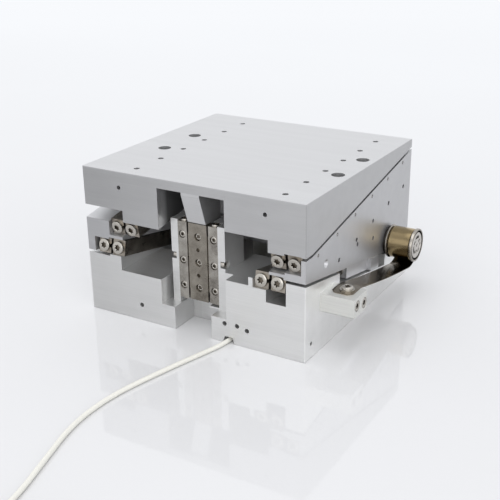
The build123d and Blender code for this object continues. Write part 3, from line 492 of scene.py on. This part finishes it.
guide_end_x = 6.55 * mm
guide_middle_y = guide_face + 2 * mm
guide_bottom_z = 11 * mm
guide_top_z = 41 * mm
guide_end_places = [
    ((-guide_end_x, guide_middle_y, guide_top_z), (0, 0, 1)),
    ((guide_end_x, guide_middle_y, guide_top_z), (0, 0, 1)),
    ((-guide_end_x, guide_middle_y, guide_bottom_z), (0, 0, -1)),
]
heads("guide_end_heads", guide_end_places, "base", "guide_end_screws", 1.5 * mm, 0.8 * mm)

rail_screw_places = []
for pair, side in ((upper_left, -1), (upper_right, 1)):
    row = upper_origin + across * (pair + side * rail_screw_line) + upper_normal * 1.0 * mm
    for number in range(6):
        along = rail_start + rail_length / 2 + (number - 2.5) * rail_pitch
        rail_screw_places.append((row + upper_run * along, upper_normal))
heads("rail_heads", rail_screw_places, "wedge", "rail_screws", 1.95 * mm, 1.6 * mm)

# The spring's bracket, counterbored 1.2 mm deep at its right end.
bracket_seat = right_x + (12.8 - 1.2) * mm
bracket_places = [
    ((bracket_seat, front_y + back * mm, z * mm), across) for back, z in ((13.8, 19.0), (19.6, 18.0))
]
heads(
    "bracket_heads", bracket_places, "base", "bracket_screws",
    1.9 * mm, 1.25 * mm, dome=0.0, socket=0.5, stem=14 * mm,
)
clamp_spot = (53.6 * mm, front_y + 17.8 * mm, 22.8 * mm)
heads(
    "clamp_head", [(clamp_spot, (0, 0, 1))], "base", "band_clamp_screw",
    2.0 * mm, 1.0 * mm, stem=3.1 * mm,
)

# ------------------------------------------------------------------ spring tape
roll_r = 6.25 * mm
loop_r = 8.6 * mm
loop_y = spool_y + roll_r + 0.1 * mm - loop_r
tape_thickness = 0.2 * mm
tape_left = 48.8 * mm
tape_right = 57.0 * mm
bracket_edge = front_y + 21.8 * mm
tape_front = front_y + 13.8 * mm
tape_z = 22.3 * mm


def tape_line(count=60):
    """Side view of the tape's upper face, as points (y, z).

    It lies flat under the washer, bends down over the bracket's edge, runs straight to a
    loose loop below the roll, and follows the loop's circle up to the back of the roll.
    """
    to_loop_y = loop_y - bracket_edge
    to_loop_z = spool_z - tape_z
    dip = asin(loop_r / hypot(to_loop_y, to_loop_z)) - atan2(to_loop_z, to_loop_y)
    touch = np.array((loop_y - loop_r * sin(dip), spool_z - loop_r * cos(dip)))
    flat_y = np.linspace(tape_front, bracket_edge - 1.5 * mm, 8)
    flat = np.stack((flat_y, np.full_like(flat_y, tape_z)), axis=1)
    share = np.linspace(0.03, 1, count)
    start = np.array((bracket_edge, tape_z))
    straight = start + share[:, None] * (touch - start)
    straight[:, 1] -= 0.5 * mm * np.sin(pi * share)
    angle = np.linspace(-dip, pi / 2 - 0.05, 40)[1:]
    loop = np.stack((loop_y + loop_r * np.sin(angle), spool_z - loop_r * np.cos(angle)), axis=1)
    return np.concatenate((flat, straight, loop))


tape_chamfer = 1.6 * mm             # corners cut off the tape's front end


def tape_strip(line, left, right, thickness):
    """Closed strip: the line carried across from left to right, with a face above and below."""
    ahead = np.gradient(line, axis=0)
    ahead /= np.linalg.norm(ahead, axis=1)[:, None]
    below = np.stack((ahead[:, 1], -ahead[:, 0]), axis=1) * thickness
    inset = np.clip(1 - (line[:, 0] - line[0, 0]) / tape_chamfer, 0, 1) * tape_chamfer
    rows = []
    for offset, lift in ((left, 0), (left, 1), (right, 1), (right, 0)):
        inward = inset if offset == left else -inset
        side = line + below * lift
        rows.append(np.stack((offset + inward, side[:, 0], side[:, 1]), axis=1))
    ring = np.stack(rows, axis=1)
    ends = [np.broadcast_to(ring[index].mean(axis=0), (1, 4, 3)) for index in (0, -1)]
    return np.concatenate((ends[0], ring, ends[1]))


tape = build(
    "spring_tape",
    [tape_strip(tape_line(), tape_left, tape_right, tape_thickness)],
    "tape_steel",
    sharp=50,
)
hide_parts("spring_band")
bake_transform(tape)

# ------------------------------------------------------------------ spool
spool_axis = (0, spool_y, spool_z)
plate_r = 5.2 * mm


def hub():
    """Bush with a thin inner flange and an outer flange whose face is dished inside its rim."""
    flange, rim, end = inner_flange_x / mm, rim_left_x / mm, rim_right_x / mm
    profile = [
        (2.4, flange), (6.4, flange), (6.6, flange + 0.15), (6.6, flange + 0.45),
        (6.4, flange + 0.6), (2.9, flange + 0.6), (2.9, rim), (6.45, rim), (6.6, rim + 0.15),
        (6.6, end - 0.35), (6.5, end - 0.1), (6.3, end), (6.0, end), (5.9, end - 0.1),
        (5.85, end - 1.0), (2.4, end - 1.0), (2.4, flange),
    ]
    return turned(spool_axis, across, np.array(profile) * mm, columns=96)


def end_plate(rows=56, columns=144):
    """Round plate over the spool's end, its relief a function of radius and angle.

    The height falls by 0.45 mm in the holes, a ring of three and a centre, and in three
    curved slots between them; each edge is a smooth step.
    """
    radius = np.linspace(0, plate_r, rows)[:, None]
    angle = np.linspace(0, 2 * pi, columns, endpoint=False)[None, :]

    def inside(distance, reach):
        return 1 / (1 + np.exp((distance - reach) / (0.035 * mm)))

    y, z = radius * np.cos(angle), radius * np.sin(angle)
    dips = inside(np.hypot(y, z), 0.6 * mm)
    hole_ring, slot_ring, slot_half = 2.65 * mm, 3.3 * mm, 1.5 * mm
    for number in range(3):
        hole = 2 * pi * number / 3 + 0.45
        off_hole = np.hypot(y - hole_ring * cos(hole), z - hole_ring * sin(hole))
        dips = dips + inside(off_hole, 0.75 * mm)
        middle = hole + pi / 3
        swing = np.abs((angle - middle + pi) % (2 * pi) - pi) * slot_ring
        off_slot = np.hypot(np.maximum(swing - slot_half, 0), radius - slot_ring)
        dips = dips + inside(off_slot, 0.5 * mm)
    rounded = 0.25 * mm * np.clip((radius - (plate_r - 0.3 * mm)) / (0.3 * mm), 0, 1) ** 2
    height = rim_right_x - 0.1 * mm - rounded - 0.45 * mm * np.clip(dips, 0, 1)
    face = np.stack((np.broadcast_to(height, y.shape), spool_y + y, spool_z + z), axis=-1)
    skirt = face[-1:].copy()
    skirt[..., 0] = rim_right_x - 0.95 * mm
    back = np.broadcast_to(np.array((rim_right_x - 0.95 * mm, spool_y, spool_z)), skirt.shape)
    return np.concatenate((face, skirt, back))


spool_shell = build("spool_shell", [hub()], "hub_aluminium", sharp=40, inside=("shadow_steel", 3))
stand_for(spool_shell, "spool", "spool_hub")
# The stud that the spool turns on, and a collar between the spool and the wedge, both as
# (radius, x) in millimetres. The collar is near-black shadow_steel, a painted shadow for the gap
# there.
stud_profile = [(0, 41.4), (1.45, 41.4), (1.45, 46.5), (1.9, 46.5), (1.9, 58.02), (0, 58.02)]
collar_profile = [(2.0, 46.7), (5.8, 46.7), (5.8, 47.5), (2.0, 47.5)]
stud = turned(spool_axis, across, np.array(stud_profile) * mm, columns=32)
collar = turned(spool_axis, across, np.array(collar_profile) * mm)
axle_piece = build(
    "spool_plate",
    [end_plate(), stud, collar],
    "plate_steel",
    sharp=32,
    inside=("shadow_steel", 3),
)
stand_for(axle_piece, "wedge", "spool_axle")


def wound_roll(turns=18):
    """Wound tape: the end faces ripple with the turns, one ridge each."""
    left, right = 48.95, 57.2
    bore, outer = 2.95, 6.25
    radii = np.linspace(bore, outer, 6 * turns + 1)
    ripple = 0.05 * np.cos(2 * pi * turns * (radii - bore) / (outer - bore))
    rows = [(r, left + 0.06 + wave) for r, wave in zip(radii, ripple)]
    rows += [(outer, left + 0.1), (outer, right - 0.1)]
    rows += [(r, right - 0.06 - wave) for r, wave in zip(radii[::-1], ripple[::-1])]
    rows += [(bore, left + 0.11)]
    return turned(spool_axis, across, np.array(rows) * mm, columns=96)


wound = build("tape_roll", [wound_roll()], "spring_steel", sharp=30)
stand_for(wound, "spool", "spring_roll")

# ------------------------------------------------------------------ signal cable
cable_r = 0.8 * mm
cable_z = 0.85 * mm
cable_route = [                    # x and y in millimetres, from the grommet to the coil
    (15.7, -40.0),
    (15.7, -48.5),
    (12.1, -60.0),
    (6.7, -79.5),
    (2.6, -97.5),
    (2.8, -116.0),
    (8.7, -135.5),
    (13.5, -151.5),
    (15.0, -167.0),
]
pitch = 2 * cable_r                # of neighbouring turns
coil_middle_r = 9 * mm
outer_turn_r = coil_middle_r + 1.5 * pitch
coil_turns = 12.25
points_per_turn = 24

route = [Vector((x * mm, y * mm, cable_z)) for x, y in cable_route]
last_run = (route[-1] - route[-2]).normalized()
sideways = Vector((-last_run.y, last_run.x, 0))
beside_turn = (outer_turn_r + cable_r) ** 2 - (outer_turn_r - cable_r) ** 2
lead_in = beside_turn ** 0.5 + 0.05 * mm
coil_centre = route[-1] + last_run * lead_in + sideways * outer_turn_r


def coil_path(turns):
    """Radius and height of the coil after so many turns.

    Each turn keeps one radius and steps a pitch in or out over its last fifth. Every third
    turn steps up a layer between three and five tenths of the turn, and the steps turn back.
    """
    def step(value):
        held = min(max(value, 0.0), 1.0)
        return held * held * (3 - 2 * held)

    radial = sum(
        (-1 if number // 3 % 2 == 0 else 1) * step((turns - number - 0.8) / 0.2)
        for number in range(12)
    )
    layers = sum(step((turns - number - 0.3) / 0.2) for number in (3, 6, 9))
    return outer_turn_r + radial * pitch, cable_z + layers * pitch


start_angle = atan2(-sideways.y, -sideways.x)
cable_points = list(route)
for number in range(int(coil_turns * points_per_turn) + 1):
    turns = number / points_per_turn
    radius, height = coil_path(turns)
    angle = start_angle + 2 * pi * turns
    x = coil_centre.x + radius * cos(angle)
    y = coil_centre.y + radius * sin(angle)
    cable_points.append(Vector((x, y, height)))
plug_r = 3.5 * mm
plug_x = coil_centre.x + lead_in + 1 * mm
plug_y = coil_centre.y - outer_turn_r
for ahead, height in ((-4.5 * mm, 5.1 * mm), (-1.5 * mm, 3.7 * mm), (2.5 * mm, plug_r)):
    cable_points.append(Vector((plug_x + ahead, plug_y, height)))

curve = bpy.data.curves.new("signal_lead", "CURVE")
curve.dimensions = "3D"
curve.bevel_depth = cable_r
curve.bevel_resolution = 5
curve.resolution_u = 6
curve.use_fill_caps = True
spline = curve.splines.new("NURBS")
spline.points.add(len(cable_points) - 1)
for point, spot in zip(spline.points, cable_points):
    point.co = (*spot, 1)
spline.order_u = 3
spline.use_endpoint_u = True
curve.materials.append(finishes["cable_white"].material)
lead = bpy.data.objects.new("signal_lead", curve)
bpy.context.scene.collection.objects.link(lead)
stand_for(lead, "base", "signal_cable", "cable_coil")


def plug_body():
    """Connector: a tapered boot, a plain nut and a shell with an open socket."""
    profile = [
        (0.82, 0), (1.5, 0), (1.7, 0.6), (2.6, 6), (3.0, 6), (3.3, 6.3), (3.3, 9.4), (3.0, 9.7),
        (3.0, 10.4), (3.45, 10.6), (3.45, 20.7), (3.25, 21), (2.8, 21), (2.75, 17), (0, 17),
    ]
    return turned((plug_x, plug_y, plug_r), across, np.array(profile) * mm)


connector = build("cable_plug", [plug_body()], "connector_metal")
stand_for(connector, "base", "cable_connector")

# ------------------------------------------------------------------ floor, light, camera
def stage_floor(reach=3.0):
    """White glossy table with painted light: a shade lighter toward the back."""
    finish = Finish("table", Roughness=0.04)
    along = finish.axes()[1]
    painted_light_toward_back = finish.spread(along, 0.0, 0.5, 0.0, 1.0)
    finish.set("Base Color", finish.mix(painted_light_toward_back, (0.765, 0.765, 0.775), (0.86, 0.87, 0.885)))
    corners = [(x * reach, y * reach, 0) for x, y in ((-1, -1), (1, -1), (1, 1), (-1, 1))]
    mesh = bpy.data.meshes.new("table")
    mesh.from_pydata(corners, [], [(0, 1, 2, 3)])
    mesh.materials.append(finish.material)
    table = bpy.data.objects.new("table", mesh)
    table.location = (0, 0, -0.0001)
    bpy.context.scene.collection.objects.link(table)


def softbox(name, place, aim, size, power):
    """Rectangular lamp of a size in metres, turned from its place to the aim."""
    lamp = bpy.data.lights.new(name, "AREA")
    lamp.shape = "RECTANGLE"
    lamp.size, lamp.size_y = size
    lamp.energy = power
    lamp_object = bpy.data.objects.new(name, lamp)
    lamp_object.location = place
    direction = Vector(aim) - Vector(place)
    lamp_object.rotation_euler = direction.to_track_quat("-Z", "Y").to_euler()
    bpy.context.scene.collection.objects.link(lamp_object)


def room(backdrop, mirror, fill):
    """Plain surroundings: what the camera sees, what polished metal mirrors, and the rest."""
    world = bpy.data.worlds.new("room")
    world.use_nodes = True
    nodes, links = world.node_tree.nodes, world.node_tree.links
    rays = nodes.new("ShaderNodeLightPath")
    mirrored = nodes.new("ShaderNodeMix")
    strength = nodes.new("ShaderNodeMix")
    links.new(rays.outputs["Is Glossy Ray"], mirrored.inputs[0])
    mirrored.inputs[2].default_value = fill
    mirrored.inputs[3].default_value = mirror
    links.new(rays.outputs["Is Camera Ray"], strength.inputs[0])
    links.new(mirrored.outputs[0], strength.inputs[2])
    strength.inputs[3].default_value = backdrop
    links.new(strength.outputs[0], nodes["Background"].inputs["Strength"])
    nodes["Background"].inputs["Color"].default_value = (0.965, 0.977, 1.0, 1)
    bpy.context.scene.world = world


stage_floor()
softbox("top_box", (-0.05, -0.15, 0.75), (0, 0, 0.03), (0.7, 0.5), 1.6)
softbox("front_box", (0.5, -0.8, 0.4), (0.02, -0.03, 0.01), (1.6, 0.6), 3.6)
room(backdrop=0.93, mirror=1.2, fill=0.80)

camera_data = bpy.data.cameras.new("camera")
camera_data.lens = 66.1
camera_data.sensor_width = 36
camera_data.clip_start = 0.01
camera = bpy.data.objects.new("camera", camera_data)
camera.location = (173.46 * mm, -294.63 * mm, 154.39 * mm)
heading = Euler((0, 0, radians(30.829))).to_matrix()
tilt = Euler((radians(90 - 21.920), 0, 0)).to_matrix()
lean = Euler((0, 0, radians(-0.707))).to_matrix()
camera.rotation_euler = (heading @ tilt @ lean).to_euler()
bpy.context.scene.collection.objects.link(camera)
bpy.context.scene.camera = camera

bpy.context.scene.view_settings.view_transform = "Standard"
